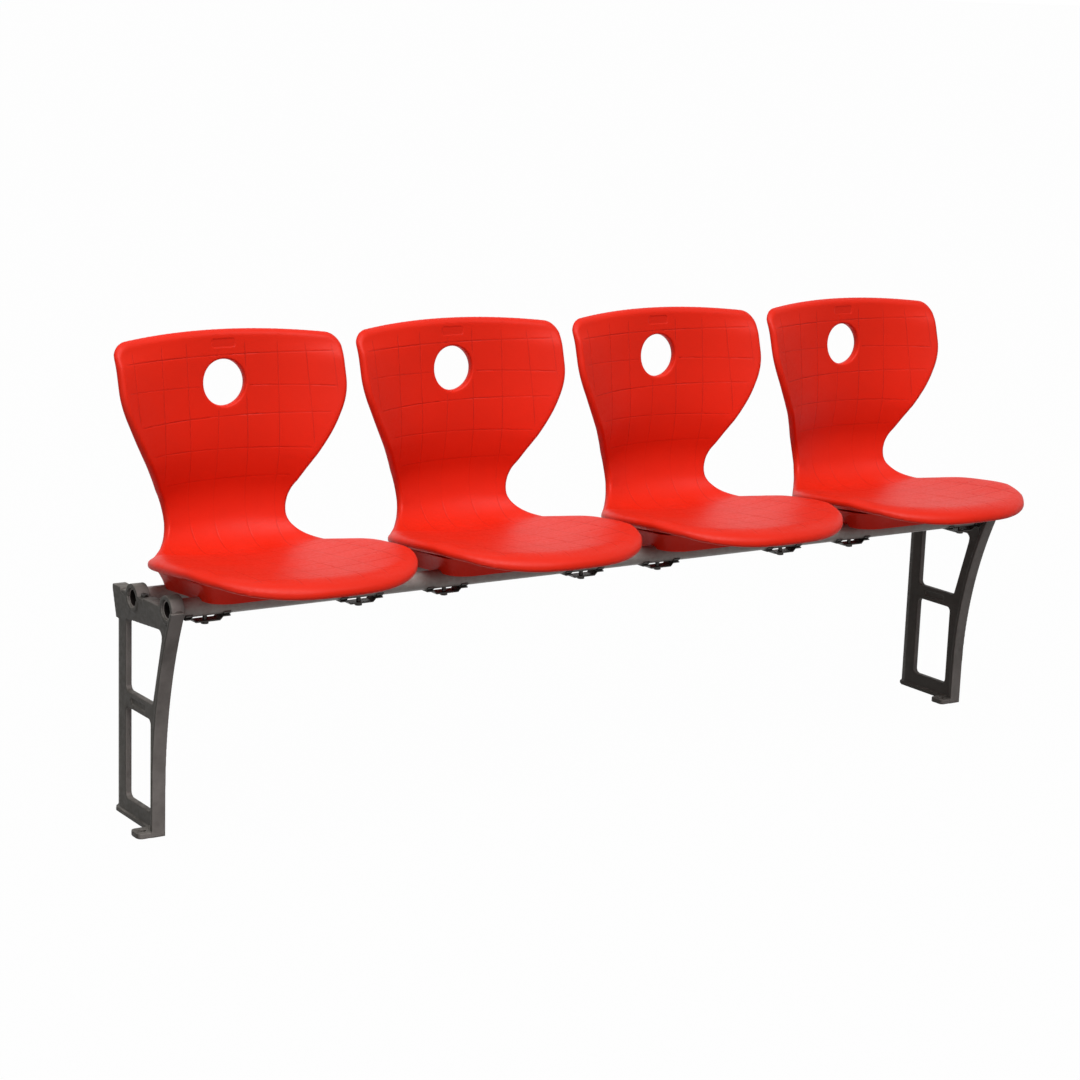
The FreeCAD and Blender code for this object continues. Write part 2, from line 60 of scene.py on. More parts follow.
# %% Place the camera
camera = bpy.data.objects.new("photo_camera", bpy.data.cameras.new("photo_camera"))
bpy.context.scene.collection.objects.link(camera)
to_right = Vector((0.8302, -0.5564, 0.0349))
to_top = Vector((0.0901, 0.1956, 0.9765))
to_back = to_right.cross(to_top).normalized()
to_top = to_back.cross(to_right).normalized()
turned = Matrix((to_right.normalized(), to_top, to_back)).transposed().to_4x4()
stands_at = (-2.77965, -3.84859, 1.4745)
camera.matrix_world = Matrix.Translation(stands_at) @ turned
camera.data.sensor_width = 36.0
camera.data.lens = 85.55
camera.data.clip_end = 3000.0
bpy.context.scene.camera = camera
print("camera at", stands_at, "with a lens of", camera.data.lens, "mm")

# %% [markdown]
# ## Small helpers for materials
# A material is a tree of nodes. Wiring one by hand takes many lines, so two helpers make a node
# with its values set, and join two sockets. Effects that several finishes share become groups:
# a group has named inputs and outputs, is built once, and sits in each material with other values.

# %% Node helpers
def add_node(tree, kind, **values):
    """New node of that kind; a value goes to the socket, or the setting, of its name."""
    node = tree.nodes.new(kind)
    for name, value in values.items():
        label = name.replace("_", " ")
        if hasattr(node, name):
            setattr(node, name, value)
        else:
            node.inputs[label].default_value = value
    return node


def join(tree, source, target):
    tree.links.new(source, target)


def new_group(name, inputs, outputs):
    """Empty node group with its sockets, and its input and output nodes."""
    group = bpy.data.node_groups.new(name, "ShaderNodeTree")
    for label, kind, value in inputs:
        socket = group.interface.new_socket(label, in_out="INPUT", socket_type=kind)
        socket.default_value = value
    for label, kind in outputs:
        group.interface.new_socket(label, in_out="OUTPUT", socket_type=kind)
    return group, group.nodes.new("NodeGroupInput"), group.nodes.new("NodeGroupOutput")


NUMBER, COLOUR = "NodeSocketFloat", "NodeSocketColor"

# %% [markdown]
# ## Shared effect: tone drift
# No real finish has one even colour. Plastic cools unevenly and paint dries thicker in places.
# A soft, large noise that moves the colour a few percent lighter or darker gives that drift.

# %% Tone drift group
drift, drift_in, drift_out = new_group(
    "tone_drift",
    [("Color", COLOUR, (0.5, 0.5, 0.5, 1)), ("Amount", NUMBER, 0.1), ("Scale", NUMBER, 6.0)],
    [("Color", COLOUR)],
)
drift_place = add_node(drift, "ShaderNodeTexCoord")
drift_noise = add_node(drift, "ShaderNodeTexNoise", Detail=3.0, Roughness=0.55)
drift_range = add_node(drift, "ShaderNodeMapRange", From_Min=0.3, From_Max=0.7)
drift_low = add_node(drift, "ShaderNodeMath", operation="SUBTRACT")
drift_high = add_node(drift, "ShaderNodeMath", operation="ADD")
drift_low.inputs[0].default_value = 1.0
drift_high.inputs[0].default_value = 1.0
drift_scale = add_node(drift, "ShaderNodeVectorMath", operation="SCALE")
join(drift, drift_place.outputs["Object"], drift_noise.inputs["Vector"])
join(drift, drift_in.outputs["Scale"], drift_noise.inputs["Scale"])
join(drift, drift_noise.outputs["Fac"], drift_range.inputs["Value"])
join(drift, drift_in.outputs["Amount"], drift_low.inputs[1])
join(drift, drift_in.outputs["Amount"], drift_high.inputs[1])
join(drift, drift_low.outputs[0], drift_range.inputs["To Min"])
join(drift, drift_high.outputs[0], drift_range.inputs["To Max"])
join(drift, drift_in.outputs["Color"], drift_scale.inputs[0])
join(drift, drift_range.outputs["Result"], drift_scale.inputs["Scale"])
join(drift, drift_scale.outputs[0], drift_out.inputs["Color"])
print("group", drift.name, "with", len(drift.nodes), "nodes")

# %% [markdown]
# ## Shared effect: surface grain
# Moulds are etched, castings come out of sand or a rough die, and sprayed paint dries with a skin
# like an orange's. All three are a small random height over the surface, at different sizes.
# One group gives the height for a Bump node, and a roughness that changes with the same noise.

# %% Surface grain group
grain, grain_in, grain_out = new_group(
    "surface_grain",
    [("Scale", NUMBER, 700.0), ("Coarse", NUMBER, 0.4), ("Rough Low", NUMBER, 0.4),
     ("Rough High", NUMBER, 0.5)],
    [("Height", NUMBER), ("Roughness", NUMBER)],
)
grain_place = add_node(grain, "ShaderNodeTexCoord")
grain_fine = add_node(grain, "ShaderNodeTexNoise", Detail=2.0, Roughness=0.5)
grain_wide = add_node(grain, "ShaderNodeTexNoise", Detail=3.0, Roughness=0.6)
grain_fifth = add_node(grain, "ShaderNodeMath", operation="MULTIPLY")
grain_fifth.inputs[1].default_value = 0.2
grain_mix = add_node(grain, "ShaderNodeMix", data_type="FLOAT")
grain_rough = add_node(grain, "ShaderNodeMapRange", From_Min=0.35, From_Max=0.65)
join(grain, grain_place.outputs["Object"], grain_fine.inputs["Vector"])
join(grain, grain_place.outputs["Object"], grain_wide.inputs["Vector"])
join(grain, grain_in.outputs["Scale"], grain_fine.inputs["Scale"])
join(grain, grain_in.outputs["Scale"], grain_fifth.inputs[0])
join(grain, grain_fifth.outputs[0], grain_wide.inputs["Scale"])
join(grain, grain_in.outputs["Coarse"], grain_mix.inputs[0])
join(grain, grain_fine.outputs["Fac"], grain_mix.inputs[2])
join(grain, grain_wide.outputs["Fac"], grain_mix.inputs[3])
join(grain, grain_wide.outputs["Fac"], grain_rough.inputs["Value"])
join(grain, grain_in.outputs["Rough Low"], grain_rough.inputs["To Min"])
join(grain, grain_in.outputs["Rough High"], grain_rough.inputs["To Max"])
join(grain, grain_mix.outputs[0], grain_out.inputs["Height"])
join(grain, grain_rough.outputs["Result"], grain_out.inputs["Roughness"])
print("group", grain.name, "with", len(grain.nodes), "nodes")

# %% [markdown]
# ## Shared effect: edge wear
# Hands, boots and brooms rub the edges first. The render engine knows how pointed the surface is
# at each place, so a mask can be read from that, broken up by noise so that it isn't a neat line.

# %% Edge wear group
wear, wear_in, wear_out = new_group(
    "edge_wear",
    [("Start", NUMBER, 0.52), ("End", NUMBER, 0.62), ("Break Up", NUMBER, 60.0)],
    [("Mask", NUMBER)],
)
wear_shape = add_node(wear, "ShaderNodeNewGeometry")
wear_place = add_node(wear, "ShaderNodeTexCoord")
wear_noise = add_node(wear, "ShaderNodeTexNoise", Detail=4.0, Roughness=0.65)
wear_range = add_node(wear, "ShaderNodeMapRange")
wear_patch = add_node(wear, "ShaderNodeMapRange", From_Min=0.42, From_Max=0.58)
wear_mask = add_node(wear, "ShaderNodeMath", operation="MULTIPLY")
join(wear, wear_place.outputs["Object"], wear_noise.inputs["Vector"])
join(wear, wear_in.outputs["Break Up"], wear_noise.inputs["Scale"])
join(wear, wear_shape.outputs["Pointiness"], wear_range.inputs["Value"])
join(wear, wear_in.outputs["Start"], wear_range.inputs["From Min"])
join(wear, wear_in.outputs["End"], wear_range.inputs["From Max"])
join(wear, wear_noise.outputs["Fac"], wear_patch.inputs["Value"])
join(wear, wear_range.outputs["Result"], wear_mask.inputs[0])
join(wear, wear_patch.outputs["Result"], wear_mask.inputs[1])
join(wear, wear_mask.outputs[0], wear_out.inputs["Mask"])
print("group", wear.name, "with", len(wear.nodes), "nodes")

# %% [markdown]
# ## Shared effect: settled dust
# Dust lies on what faces up. The upward part of the surface's direction, times a soft noise, says
# where it lies; the material then mixes a little pale grey into its colour there.

# %% Settled dust group
dust, dust_in, dust_out = new_group(
    "settled_dust", [("Amount", NUMBER, 0.1), ("Scale", NUMBER, 25.0)], [("Mask", NUMBER)]
)
dust_shape = add_node(dust, "ShaderNodeNewGeometry")
dust_split = add_node(dust, "ShaderNodeSeparateXYZ")
dust_up = add_node(dust, "ShaderNodeMapRange", From_Min=0.3, From_Max=1.0)
dust_place = add_node(dust, "ShaderNodeTexCoord")
dust_noise = add_node(dust, "ShaderNodeTexNoise", Detail=5.0, Roughness=0.6)
dust_patch = add_node(dust, "ShaderNodeMapRange", From_Min=0.35, From_Max=0.7)
dust_lie = add_node(dust, "ShaderNodeMath", operation="MULTIPLY")
dust_mask = add_node(dust, "ShaderNodeMath", operation="MULTIPLY")
join(dust, dust_shape.outputs["Normal"], dust_split.inputs[0])
join(dust, dust_split.outputs["Z"], dust_up.inputs["Value"])
join(dust, dust_place.outputs["Object"], dust_noise.inputs["Vector"])
join(dust, dust_in.outputs["Scale"], dust_noise.inputs["Scale"])
join(dust, dust_noise.outputs["Fac"], dust_patch.inputs["Value"])
join(dust, dust_up.outputs["Result"], dust_lie.inputs[0])
join(dust, dust_patch.outputs["Result"], dust_lie.inputs[1])
join(dust, dust_lie.outputs[0], dust_mask.inputs[0])
join(dust, dust_in.outputs["Amount"], dust_mask.inputs[1])
join(dust, dust_mask.outputs[0], dust_out.inputs["Mask"])
print("group", dust.name, "with", len(dust.nodes), "nodes")

# %% [markdown]
# ## Shared effect: painted light on the front
# Faces that look to the front, where most light comes from, are painted paler as painted light.
# A mask of those faces, broken up by noise, lets a finish be paler there.

# %% Painted front light group
front_light, front_light_in, front_light_out = new_group(
    "front_light_group", [("Amount", NUMBER, 0.5), ("Break Up", NUMBER, 30.0)], [("Mask", NUMBER)]
)
front_light_shape = add_node(front_light, "ShaderNodeNewGeometry")
front_light_split = add_node(front_light, "ShaderNodeSeparateXYZ")
front_light_facing = add_node(front_light, "ShaderNodeMapRange", From_Min=-0.45, From_Max=-0.95)
front_light_place = add_node(front_light, "ShaderNodeTexCoord")
front_light_noise = add_node(front_light, "ShaderNodeTexNoise", Detail=5.0, Roughness=0.65)
front_light_patch = add_node(front_light, "ShaderNodeMapRange", From_Min=0.3, From_Max=0.6, To_Min=0.55)
front_light_where = add_node(front_light, "ShaderNodeMath", operation="MULTIPLY")
front_light_mask = add_node(front_light, "ShaderNodeMath", operation="MULTIPLY")
join(front_light, front_light_shape.outputs["Normal"], front_light_split.inputs[0])
join(front_light, front_light_split.outputs["Y"], front_light_facing.inputs["Value"])
join(front_light, front_light_place.outputs["Object"], front_light_noise.inputs["Vector"])
join(front_light, front_light_in.outputs["Break Up"], front_light_noise.inputs["Scale"])
join(front_light, front_light_noise.outputs["Fac"], front_light_patch.inputs["Value"])
join(front_light, front_light_facing.outputs["Result"], front_light_where.inputs[0])
join(front_light, front_light_patch.outputs["Result"], front_light_where.inputs[1])
join(front_light, front_light_where.outputs[0], front_light_mask.inputs[0])
join(front_light, front_light_in.outputs["Amount"], front_light_mask.inputs[1])
join(front_light, front_light_mask.outputs[0], front_light_out.inputs["Mask"])
print("group", front_light.name, "with", len(front_light.nodes), "nodes")

# %% [markdown]
# ## Shared effect: painted shade inside a tube
# The inside of a tube is painted almost black, as painted shade in the bore. A face lies inside
# where its normal points towards the tube's axis, and the mask compares those two directions.

# %% Inside of a tube group
bore_shade, bore_shade_in, bore_shade_out = new_group(
    "inside_of_tube", [("Axis Y", NUMBER, 0.0), ("Axis Z", NUMBER, 0.0)], [("Mask", NUMBER)]
)
bore_shade_shape = add_node(bore_shade, "ShaderNodeNewGeometry")
bore_shade_axis = add_node(bore_shade, "ShaderNodeCombineXYZ")
bore_shade_from = add_node(bore_shade, "ShaderNodeVectorMath", operation="SUBTRACT")
bore_shade_across = add_node(bore_shade, "ShaderNodeVectorMath", operation="MULTIPLY")
bore_shade_across.inputs[1].default_value = (0, 1, 1)
bore_shade_meet = add_node(bore_shade, "ShaderNodeVectorMath", operation="DOT_PRODUCT")
bore_shade_mask = add_node(bore_shade, "ShaderNodeMath", operation="LESS_THAN")
bore_shade_mask.inputs[1].default_value = -2 * MM
join(bore_shade, bore_shade_in.outputs["Axis Y"], bore_shade_axis.inputs["Y"])
join(bore_shade, bore_shade_in.outputs["Axis Z"], bore_shade_axis.inputs["Z"])
join(bore_shade, bore_shade_shape.outputs["Position"], bore_shade_from.inputs[0])
join(bore_shade, bore_shade_axis.outputs[0], bore_shade_from.inputs[1])
join(bore_shade, bore_shade_from.outputs[0], bore_shade_across.inputs[0])
join(bore_shade, bore_shade_across.outputs[0], bore_shade_meet.inputs[0])
join(bore_shade, bore_shade_shape.outputs["True Normal"], bore_shade_meet.inputs[1])
join(bore_shade, bore_shade_meet.outputs["Value"], bore_shade_mask.inputs[0])
join(bore_shade, bore_shade_mask.outputs[0], bore_shade_out.inputs["Mask"])
print("group", bore_shade.name, "with", len(bore_shade.nodes), "nodes")

# %% [markdown]
# ## A finish from the shared effects
# Every finish on this row is the same recipe with other values: a drifting base colour, a second
# colour where the edges are worn, dust where it can lie, and a grain that moves roughness and
# bump. Some also have painted shade in the pressed lines, painted light on the faces that look to
# the front, or painted shade inside a tube. So one function wires the groups to a Principled
# shader, and each finish calls it.

# %% Finish recipe
dust_colour = (0.42, 0.39, 0.36, 1)
# Almost black: painted shade inside the tubes.
bore_shade_colour = (0.014, 0.011, 0.010, 1)


def place_group(tree, group, **values):
    node = tree.nodes.new("ShaderNodeGroup")
    node.node_tree = group
    for name, value in values.items():
        node.inputs[name.replace("_", " ")].default_value = value
    return node


def mix_colour(tree, mask, below, above):
    mix = add_node(tree, "ShaderNodeMix", data_type="RGBA")
    join(tree, mask, mix.inputs[0])
    join(tree, below, mix.inputs[6])
    mix.inputs[7].default_value = above
    return mix.outputs[2]


def finish_material(name, colour, drift_by, worn, wear_from, dust_by, grain_size, rough, bump_mm,
                    metal=0.0, gloss=0.5, groove_shade=None, painted_front_light=None, axis=None):
    """Material from the shared effects. Each effect's values are given in the order of its inputs;
    grain_size is in millimetres, with the coarse share, and rough is the lowest and the highest."""
    material = bpy.data.materials.new(name)
    material.use_nodes = True
    tree = material.node_tree
    shader = tree.nodes["Principled BSDF"]
    shader.inputs["Metallic"].default_value = metal
    shader.inputs["Specular IOR Level"].default_value = gloss
    tone = place_group(tree, drift, Color=colour, Amount=drift_by[0], Scale=drift_by[1])
    edge = place_group(tree, wear, Start=wear_from[0], End=wear_from[1], Break_Up=wear_from[2])
    lies = place_group(tree, dust, Amount=dust_by[0], Scale=dust_by[1])
    skin = place_group(tree, grain, Scale=1000 / grain_size[0], Coarse=grain_size[1],
                       Rough_Low=rough[0], Rough_High=rough[1])
    shown = tone.outputs["Color"]
    # Painted light: faces that look to the front are mixed towards a paler colour.
    if painted_front_light:
        front_lit = place_group(tree, front_light, Amount=painted_front_light[0], Break_Up=painted_front_light[1])
        shown = mix_colour(tree, front_lit.outputs["Mask"], shown, painted_front_light[2])
    shown = mix_colour(tree, edge.outputs["Mask"], shown, worn)
    shown = mix_colour(tree, lies.outputs["Mask"], shown, dust_colour)
    # Painted shade: the pressed lines and the recess are darker by how deep a point was pushed in.
    if groove_shade:
        shaded_grooves = add_node(tree, "ShaderNodeAttribute", attribute_name=groove_shade[0])
        shown = mix_colour(tree, shaded_grooves.outputs["Fac"], shown, groove_shade[1])
    # Painted shade: the inside of a tube is mixed towards almost black.
    if axis:
        inside = place_group(tree, bore_shade, Axis_Y=axis[0], Axis_Z=axis[1])
        shown = mix_colour(tree, inside.outputs["Mask"], shown, bore_shade_colour)
    bump = add_node(tree, "ShaderNodeBump", Distance=bump_mm * MM, Strength=1.0)
    join(tree, shown, shader.inputs["Base Color"])
    join(tree, skin.outputs["Roughness"], shader.inputs["Roughness"])
    join(tree, skin.outputs["Height"], bump.inputs["Height"])
    join(tree, bump.outputs["Normal"], shader.inputs["Normal"])
    print("finish", name, "with", len(tree.nodes), "nodes")
    return material


# %% [markdown]
# ## The seat's middle surface
# A seat is one blow-moulded shell: a flat seat, a round bend, and a back whose wings curve forward.
# It could be sculpted, but the solid model gives it by a few sizes, so the lesson uses the same
# kind: a middle line seen from the side, a half width along it, and the radius of its hollow
# across. They differ from the solid's by a few millimetres where the photo's shading asks for it.
# All sizes are millimetres, counted from the front edge along the middle line.

# %% Sizes of the shell
def middle_of(node):
    """Middle of a node's box, in millimetres."""
    low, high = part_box(node)
    return (low + high) / 2 * 1000


def ease(t):
    t = np.clip(t, 0, 1)
    return (1 - np.cos(np.pi * t)) / 2


slope, bend_end, rise_end, back_turn = np.radians([4.6, 75.0, 103.0, 85.6])
bend_radius, rise_radius, lumbar_radius = 85.0, 140.0, 370.0
seat_reach, back_rise = 380.0, 315.6
bend_behind, bend_above = 24.0, 128.5
waist_turn = math.radians(71.6)
tube_line = middle_of("rear_tube")
bend_y, bend_z = tube_line.y + bend_behind, tube_line.z + bend_above
flat_length = (seat_reach - bend_radius * math.sin(slope)) / math.cos(slope)
bend_length = bend_radius * (bend_end + slope)
risen = rise_radius * (math.cos(bend_end) - math.cos(rise_end))
risen += lumbar_radius * (math.cos(back_turn) - math.cos(rise_end))
back_length = (back_rise + bend_radius * math.cos(bend_end) - risen) / math.sin(back_turn)
runs = [(flat_length, 0.0), (bend_length, 1 / bend_radius),
        (rise_radius * (rise_end - bend_end), 1 / rise_radius),
        (lumbar_radius * (rise_end - back_turn), -1 / lumbar_radius), (back_length, 0.0)]
length = sum(run for run, curve in runs)
waist = flat_length + bend_radius * (waist_turn + slope)
print("shell is", round(length), "mm along its middle line")


# %% Middle line, half width and hollow
def middle_line(s):
    """Place and turn of the middle line: each run is a straight piece or an arc."""
    turn = -slope + 0 * s
    y = bend_y - seat_reach + 0 * s
    z = bend_z - bend_radius * math.cos(slope) + flat_length * math.sin(slope) + 0 * s
    ahead = s
    for run, curve in runs:
        done = np.minimum(ahead, run)
        ahead = ahead - done
        half = done * curve / 2
        chord = done * np.sinc(half / np.pi)
        y = y + chord * np.cos(turn + half)
        z = z + chord * np.sin(turn + half)
        turn = turn + 2 * half
    return y, z, turn


seat_half, waist_half, wing_half = 225.0, 121.5, 224.5
front_round, front_power = 220.5, 2.3
flank_from, flank_lag = 252.0, 1.15
shoulder_drop, corner = 94.0, 26.0


def half_width(s):
    to_front = np.clip(1 - s / front_round, 0, 1)
    front = seat_half * (1 - to_front ** front_power) ** (1 / front_power)
    narrows = np.clip((s - flank_from) / (waist - flank_from), 0, 1) ** flank_lag
    flank = seat_half - (seat_half - waist_half) * ease(narrows)
    widens = (s - waist) / (length - shoulder_drop - waist)
    wing = waist_half + (wing_half - waist_half) * ease(widens)
    into = np.clip(corner - (length - s), 0, corner)
    wing = wing - corner + np.sqrt(corner ** 2 - into ** 2)
    return np.where(s < front_round, front, np.where(s < waist, flank, wing))


seat_half_wall, back_half_wall = 13.0, 10.0


def half_wall(s):
    thins = ease((s - flat_length) / bend_length)
    return seat_half_wall - (seat_half_wall - back_half_wall) * thins


hollow_places = [0.0, 152.0, flat_length, waist, length - 222.0, length]
hollow_radii = np.array([12000.0, 1140.0, 1230.0, 355.0, 328.0, 730.0])
crown_turn, crown_reach = math.radians(26.5), 70.0


def hollow(s):
    return 1 / np.interp(s, hollow_places, 1 / hollow_radii)


def shell_points(u, s, out):
    """Points at u across and s along, that far out of the middle surface towards the person."""
    y, z, turn = middle_line(s)
    turn = turn + crown_turn * ease(1 - (length - s) / crown_reach)
    r = hollow(s)
    across = r - out
    lift = r - across * np.cos(u / r)
    return np.stack([across * np.sin(u / r), y - lift * np.sin(turn), z + lift * np.cos(turn)], -1)


# %% [markdown]
# ## The outline and an even net inside it
# The shell's rim is a closed line with a round front, a waist and a flat top. Rows straight across
# would bunch up at the round front. A net that blends the four sides of the outline into each
# other keeps its squares even, and its outer rows lie along the rim where the rounding is.

# %% Outline of the shell, laid flat
def rim_u(s):
    r, e = hollow(s), half_wall(s)
    w = half_width(s)
    angle = np.arcsin(np.clip(w - e, 0, None) / r)
    return r * np.arcsin(np.clip(w - e * (1 - np.cos(angle)), 0, None) / r)


arc_points, side_points, top_points = 240, 600, 120
arc = np.linspace(0, math.pi / 2, arc_points)
along_side = np.concatenate([front_round * (1 - np.cos(arc)),
                             np.linspace(front_round, length - corner, side_points)[1:],
                             length - corner + corner * np.sin(arc)[1:]])
side_line = np.stack([rim_u(along_side), along_side], -1)
along_top = np.linspace(side_line[-1, 0], 0, top_points)[1:]
top_line = np.stack([along_top, np.full(len(along_top), length)], -1)
right_rim = np.concatenate([side_line, top_line])
rim = np.concatenate([right_rim, (right_rim * (-1, 1))[::-1][1:-1]])
front_corner_s, top_corner_s = 58.0, length - 9.0
front_corner = np.argmin(abs(along_side[:arc_points] - front_corner_s))
top_corner = np.argmin(abs(along_side - top_corner_s))
print("rim line of", len(rim), "points")


# %% Net of squares between four sides
def spread(line, shares):
    """Points on a line at shares of its length."""
    run = np.concatenate([[0], np.cumsum(np.linalg.norm(np.diff(line, axis=0), axis=1))])
    return np.stack([np.interp(shares * run[-1], run, line[:, k]) for k in (0, 1)], -1)


def net_shares(count, rim_share):
    """Shares from 0 to 1, close together at both ends for the rounded rim."""
    rounding = rim_share * (1 - np.cos(np.radians([0, 20, 40, 60, 80])))
    inside = np.linspace(rim_share, 1 - rim_share, count)
    return np.concatenate([rounding, inside, (1 - rounding)[::-1]])


mirror = np.array((-1, 1))
half_front = right_rim[:front_corner + 1]
front_side = np.concatenate([(half_front * mirror)[::-1], half_front[1:]])
half_top = right_rim[top_corner:]
top_side = np.concatenate([half_top, (half_top[:-1] * mirror)[::-1]])[::-1]
right_side = right_rim[front_corner:top_corner + 1]
p = net_shares(count=120, rim_share=0.019)[:, None, None]
q = net_shares(count=74, rim_share=0.03)[None, :, None]
front_row = spread(front_side, q.ravel())[None]
top_row = spread(top_side, q.ravel())[None]
right_column = spread(right_side, p.ravel())[:, None]
left_column = right_column * mirror
net = ((1 - p) * front_row + p * top_row + (1 - q) * left_column + q * right_column
       - (1 - p) * ((1 - q) * front_row[:, :1] + q * front_row[:, -1:])
       - p * ((1 - q) * top_row[:, :1] + q * top_row[:, -1:]))
rows, columns = net.shape[:2]
print("net of", rows, "by", columns)

# %% [markdown]
# ## The hand hole in the net
# The back has a round hole to carry it by. A boolean cut would leave long thin faces round it.
# Instead a block of squares is taken out of the net and rings are put in: the outer ring is the
# block's edge, the inner one is the hole's circle, and the rings at the hole are close together
# because the moulded edge is rounded there.

# %% Rings round the hole
hole_drop, hole_r, hole_round = 94.0, 41.5, 4.5
hole_s = length - hole_drop
block_below, block_above, block_half = 66.0, 64.0, 66.0
number = np.arange(rows * columns).reshape(rows, columns)
middle_column = net[:, columns // 2, 1]
i0, i1 = [abs(middle_column - end).argmin() for end in (hole_s - block_below, hole_s + block_above)]
middle_row = net[(i0 + i1) // 2, :, 0]
j0, j1 = [abs(middle_row - end).argmin() for end in (-block_half, block_half)]
loop = np.concatenate([number[i0, j0:j1], number[i0:i1, j1],
                       number[i1, j1:j0:-1], number[i1:i0:-1, j0]])
flat = net.reshape(-1, 2)
outward = flat[loop] - (0, hole_s)
reach = np.linalg.norm(outward, axis=1)
outward /= reach[:, None]
ring_steps = [hole_round * (1 - math.cos(math.radians(a))) for a in (0, 18, 36, 54, 72, 90)]
rings = [hole_r + d + 0 * reach for d in ring_steps]
outer_r, outer_steps = hole_r + hole_round, 6
rings += [outer_r + (reach - outer_r) * k / outer_steps for k in range(1, outer_steps)]
ring_points = np.concatenate([(0, hole_s) + outward * ring[:, None] for ring in rings])
flat = np.concatenate([flat, ring_points])
ring_number = rows * columns + np.arange(len(rings) * len(loop)).reshape(len(rings), -1)
ring_number = np.concatenate([ring_number, loop[None]])
print("hole block", i1 - i0, "by", j1 - j0, "squares,", len(rings), "rings of", len(loop))

# %% Faces of the flat net
quads = [(number[i, j], number[i, j + 1], number[i + 1, j + 1], number[i + 1, j])
         for i in range(rows - 1) for j in range(columns - 1)
         if not (i0 <= i < i1 and j0 <= j < j1)]
around = len(loop)
quads += [(ring_number[k + 1, m], ring_number[k + 1, (m + 1) % around],
           ring_number[k, (m + 1) % around], ring_number[k, m])
          for k in range(len(rings)) for m in range(around)]
on_rim = np.zeros(len(flat), bool)
on_rim[np.concatenate([number[0], number[-1], number[:, 0], number[:, -1]])] = True
on_edge = on_rim.copy()
on_edge[ring_number[0]] = True
print(len(quads), "squares in the flat net")

# %% [markdown]
# ## Two faces that meet in an edge
# The real shell is a double wall, so it gets two skins, one each side of the middle surface, which
# share their points along the rim and round the hole. On the back the edge is small and tight. The
# seat rolls down at its front in a wide curve and ends in a thin lip, so there the shared edge lies
# lower, and the upper skin takes a longer way to reach it.

# %% Distances from the rim and the hole
def to_rim(points, batch=2000):
    """Distance of each point from the rim line, worked out in batches to save memory."""
    nearest = np.empty(len(points))
    for start in range(0, len(points), batch):
        part = points[start:start + batch]
        nearest[start:start + batch] = np.linalg.norm(part[:, None] - rim[None], axis=2).min(1)
    return nearest


u, s = flat.T
rim_far = np.where(on_rim, 0, to_rim(flat))
hole_far = np.maximum(np.hypot(u, s - hole_s) - hole_r, 0)
hole_far[ring_number[0]] = 0
print("the squares reach up to", round(rim_far.max()), "mm from the rim")

# %% Skins of the shell
round_power = 2.2


def round_off(distance, reach):
    """Rounding of an edge: 0 on it, 1 from that reach on."""
    return (1 - (1 - np.clip(distance / reach, 0, 1)) ** round_power) ** (1 / round_power)


changes = [10.0, 90.0, flat_length - 40.0, flat_length + 70.0]


def along_shell(s, front, flank, back):
    """A value that changes from the front edge over the flank to the back."""
    return np.interp(s, changes, [front, flank, flank, back])


wall = half_wall(s)
at_hole = round_off(hole_far, hole_round)
rim_low = along_shell(s, front=12.0, flank=0.0, back=-0.5)
roll = along_shell(s, front=60.0, flank=34.0, back=5.5)
lip = along_shell(s, front=6.0, flank=8.0, back=6.0)
lip_width, swell_width = 8.0, 40.0
front_out = (-rim_low + (wall + rim_low) * round_off(rim_far, roll)) * at_hole
lip_out = rim_low + lip * round_off(rim_far, lip)
swell = (wall - rim_low - lip) * ease((rim_far - lip_width) / swell_width)
rear_out = -(lip_out + swell) * at_hole
used = np.unique(np.array(quads))
inner = used[~on_edge[used]]
front_index = np.full(len(flat), -1)
front_index[used] = np.arange(len(used))
rear_index = front_index.copy()
rear_index[inner] = len(used) + np.arange(len(inner))
points = np.concatenate([shell_points(u[used], s[used], front_out[used]),
                         shell_points(u[inner], s[inner], rear_out[inner])]) * MM
faces = [tuple(front_index[k] for k in quad) for quad in quads]
faces += [tuple(rear_index[k] for k in reversed(quad)) for quad in quads]
shell_mesh = bpy.data.meshes.new("seat_shell_mesh")
shell_mesh.from_pydata(points.tolist(), [], faces)
print("skins with", len(points), "points and", len(faces), "faces")

# %% [markdown]
# ## Pressed lines and the bare recess
# The mould presses thin crossing lines into the face that is sat on, and a small blank recess above
# the hole. As a bump they would vanish at the outline and in other light, so they are cut: each
# line is five plane cuts through the net, and the points on it are pushed in by less than a
# millimetre. Cuts put new edges only where they are needed, so the mesh stays small. How deep a
# point was pushed is kept with it, and the colour is darkened by it as painted shade in the lines.
# The mesh is in metres by now, and so are most sizes in these cells; only the places of the lines
# are still in millimetres.

# %% Net to cut
bm = bmesh.new()
bm.from_mesh(shell_mesh)
bm.verts.ensure_lookup_table()
rim_layer = bm.verts.layers.float.new("rim_distance")
hole_layer = bm.verts.layers.float.new("hole_distance")
groove_shade_layer = bm.verts.layers.float.new("groove_shade")
front_layer = bm.faces.layers.int.new("sat_on")
far_rim = np.concatenate([rim_far[used], rim_far[inner]])
far_hole = np.concatenate([hole_far[used], hole_far[inner]])
for vert, a, b in zip(bm.verts, far_rim, far_hole):
    vert[rim_layer] = a * MM
    vert[hole_layer] = b * MM
for face in bm.faces:
    face[front_layer] = face.index < len(quads)
print("net to cut has", len(bm.faces), "faces")


# %% Pressed lines
def cut(middle, normal, keep):
    """Cut the front faces that pass the test along a plane."""
    found = [f for f in bm.faces if f[front_layer] and keep(f.calc_center_median())]
    geometry = set(found)
    for f in found:
        geometry.update(f.verts)
        geometry.update(f.edges)
    bmesh.ops.bisect_plane(bm, geom=list(geometry), dist=1e-5, plane_co=middle, plane_no=normal)


